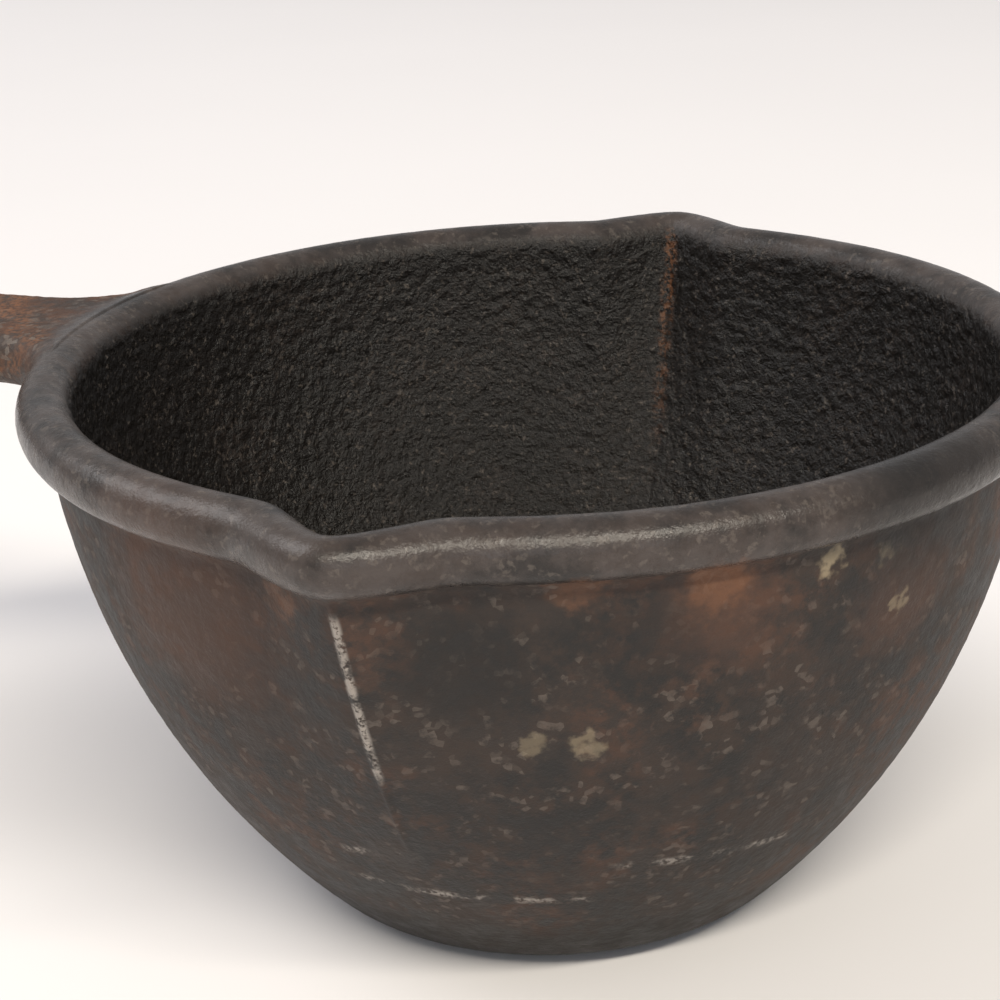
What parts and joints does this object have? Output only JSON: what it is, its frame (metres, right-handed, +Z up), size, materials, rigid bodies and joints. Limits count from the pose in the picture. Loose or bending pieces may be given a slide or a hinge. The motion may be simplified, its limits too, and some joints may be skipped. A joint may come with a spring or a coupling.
{
  "type": "butter melting pot",
  "caption": "Small cast-iron melting pot: a round bowl with a rolled rim, opposed pouring spouts and a flat handle with a hanging hole.",
  "frame": {"origin": "centre of the flat underside, on the table", "axes": "+Z up, handle along -X, pouring spouts along +Y and -Y"},
  "size_m": [0.2227, 0.1322, 0.069],
  "materials": {
    "sooty_iron": "seasoned cast iron, darkened by the hob",
    "seasoned_iron": "sand-cast iron with mottled old seasoning and rust stain",
    "rubbed_iron": "smooth seasoned iron, rubbed bright on its crest",
    "handle_iron": "brown rust-stained iron with bare worn spots"
  },
  "bodies": {
    "root": {"base": "sooty_iron", "handle_side_wall": "seasoned_iron", "far_side_wall": "seasoned_iron", "left_spout": "seasoned_iron", "right_spout": "seasoned_iron", "handle_side_rim": "rubbed_iron", "far_side_rim": "rubbed_iron", "handle_root": "handle_iron", "handle_shank": "handle_iron", "handle_eye": "handle_iron"}
  },
  "joints": []
}
